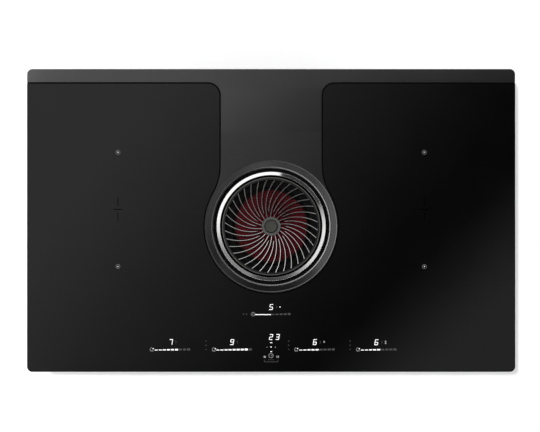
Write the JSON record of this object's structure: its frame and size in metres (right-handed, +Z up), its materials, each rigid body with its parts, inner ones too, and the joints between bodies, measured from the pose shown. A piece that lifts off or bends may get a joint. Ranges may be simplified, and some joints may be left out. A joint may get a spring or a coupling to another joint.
{
  "type": "downdraft induction cooktop",
  "caption": "Black glass induction cooktop with a round lift-off extraction grille in a T-shaped metal frame, and a blower with a rectangular rear outlet below.",
  "frame": {"origin": "centre of the plane where the rim's gasket rests on the worktop", "axes": "+X to the user's right, +Y to the back, +Z up"},
  "size_m": [0.83, 0.515, 0.212],
  "materials": {
    "black_glass": "polished black glass ceramic with ground edges",
    "frame_grey": "fine satin anthracite coat on a casting",
    "seal_black": "matte silicone",
    "gasket_foam": "closed-cell foam",
    "adhesive": "silicone adhesive",
    "well_dark": "satin black coat, polished lip",
    "trim_steel": "circular brushed bright trim",
    "rib_black": "satin black coat over cast ribs",
    "hub_grey": "satin dark grey",
    "filter_black": "matte black",
    "screen_red": "dark red perforated sheet",
    "filter_metal": "layered mesh",
    "tray_black": "moulded black",
    "galvanised": "galvanised sheet",
    "coil_copper": "enamelled copper strands",
    "carrier_plastic": "moulded",
    "ferrite_grey": "sintered ferrite",
    "sensor_white": "ceramic cap",
    "mica": "pressed mica sheet",
    "plate_aluminium": "plain rolled sheet",
    "board_green": "circuit board",
    "touch_board_green": "circuit board",
    "sink_aluminium": "extruded",
    "components": "capacitor cases",
    "fan_black": "moulded black",
    "guide_black": "moulded black",
    "box_black": "moulded black with fine grain",
    "shell_grey": "moulded dark grey",
    "impeller_grey": "moulded grey",
    "shaft_steel": "ground steel",
    "motor_steel": "black coated can",
    "clamp_steel": "zinc plated",
    "screw_zinc": "zinc plated",
    "terminal_white": "moulded",
    "gland_black": "moulded nylon"
  },
  "bodies": {
    "hob": {"air_box": "box_black", "air_box_screws": "screw_zinc", "blower_motor": "motor_steel", "blower_shell_left": "shell_grey", "blower_shell_right": "shell_grey", "board_components": "components", "board_spacers": "terminal_white", "cable_gland": "gland_black", "chassis_tray": "galvanised", "clamp_screws": "screw_zinc", "coil_carriers": "carrier_plastic", "coil_ferrites": "ferrite_grey", "coil_front_left": "coil_copper", "coil_front_right": "coil_copper", "coil_rear_left": "coil_copper", "coil_rear_right": "coil_copper", "coil_sensors": "sensor_white", "fan_housing_left": "fan_black", "fan_housing_right": "fan_black", "glass_adhesive": "adhesive", "glass_top": "black_glass", "heatsink_left": "sink_aluminium", "heatsink_right": "sink_aluminium", "inlet_well": "well_dark", "joint_seal": "seal_black", "light_guide": "guide_black", "mica_sheets": "mica", "motor_bracket": "galvanised", "outlet_spigot": "box_black", "power_board_left": "board_green", "power_board_right": "board_green", "rim_gasket": "gasket_foam", "support_plate_left": "plate_aluminium", "support_plate_right": "plate_aluminium", "t_frame": "frame_grey", "terminal_block": "terminal_white", "terminal_box": "box_black", "terminal_cover": "box_black", "terminal_walls": "box_black", "touch_board": "touch_board_green", "touch_bracket": "galvanised"},
    "grille": {"grille_ring": "trim_steel", "grille_ribs": "rib_black", "hub_cap": "hub_grey"},
    "filter": {"filter_frame": "filter_black", "filter_screen": "screen_red", "filter_media": "filter_metal"},
    "tray": {"liquid_tray": "tray_black"},
    "blower_wheel": {"impeller": "impeller_grey", "impeller_shaft": "shaft_steel"},
    "fan_left": {"fan_rotor_left": "fan_black"},
    "fan_right": {"fan_rotor_right": "fan_black"},
    "flap_top": {"flap_upper": "fan_black"},
    "flap_mid": {"flap_middle": "fan_black"},
    "flap_bottom": {"flap_lower": "fan_black"},
    "clamp_fl": {"clamp_front_left": "clamp_steel"},
    "clamp_fr": {"clamp_front_right": "clamp_steel"},
    "clamp_rl": {"clamp_rear_left": "clamp_steel"},
    "clamp_rr": {"clamp_rear_right": "clamp_steel"}
  },
  "joints": [
    {"name": "grille_lift", "type": "slide", "parent": "hob", "child": "grille", "axis": [0, 0, 1], "range_m": [0, 0.12]},
    {"name": "filter_lift", "type": "slide", "parent": "hob", "child": "filter", "axis": [0, 0, 1], "range_m": [0, 0.072]},
    {"name": "tray_lift", "type": "slide", "parent": "hob", "child": "tray", "axis": [0, 0, 1], "range_m": [0, 0.036]},
    {"name": "blower_spin", "type": "hinge", "parent": "hob", "child": "blower_wheel", "pos_m": [0, 0.152, -0.104], "axis": [1, 0, 0], "continuous": true},
    {"name": "fan_left_spin", "type": "hinge", "parent": "hob", "child": "fan_left", "pos_m": [-0.26, 0.134, -0.04], "axis": [0, 0, 1], "continuous": true},
    {"name": "fan_right_spin", "type": "hinge", "parent": "hob", "child": "fan_right", "pos_m": [0.26, 0.134, -0.04], "axis": [0, 0, 1], "continuous": true},
    {"name": "flap_upper_swing", "type": "hinge", "parent": "hob", "child": "flap_top", "pos_m": [0, 0.222, -0.1221], "axis": [1, 0, 0], "range_deg": [0, 65]},
    {"name": "flap_middle_swing", "type": "hinge", "parent": "hob", "child": "flap_mid", "pos_m": [0, 0.222, -0.14877], "axis": [1, 0, 0], "range_deg": [0, 65]},
    {"name": "flap_lower_swing", "type": "hinge", "parent": "hob", "child": "flap_bottom", "pos_m": [0, 0.222, -0.17543], "axis": [1, 0, 0], "range_deg": [0, 65]},
    {"name": "clamp_front_left_swing", "type": "hinge", "parent": "hob", "child": "clamp_fl", "pos_m": [-0.378, -0.1785, -0.054], "axis": [0, 0, 1], "range_deg": [0, 90]},
    {"name": "clamp_front_right_swing", "type": "hinge", "parent": "hob", "child": "clamp_fr", "pos_m": [0.378, -0.1785, -0.054], "axis": [0, 0, 1], "range_deg": [-90, 0]},
    {"name": "clamp_rear_left_swing", "type": "hinge", "parent": "hob", "child": "clamp_rl", "pos_m": [-0.378, 0.1785, -0.054], "axis": [0, 0, 1], "range_deg": [-90, 0]},
    {"name": "clamp_rear_right_swing", "type": "hinge", "parent": "hob", "child": "clamp_rr", "pos_m": [0.378, 0.1785, -0.054], "axis": [0, 0, 1], "range_deg": [0, 90]}
  ],
  "couplings": [
    {"joint": "filter_lift", "follows": "grille_lift", "ratio": 0.6},
    {"joint": "tray_lift", "follows": "grille_lift", "ratio": 0.3}
  ]
}
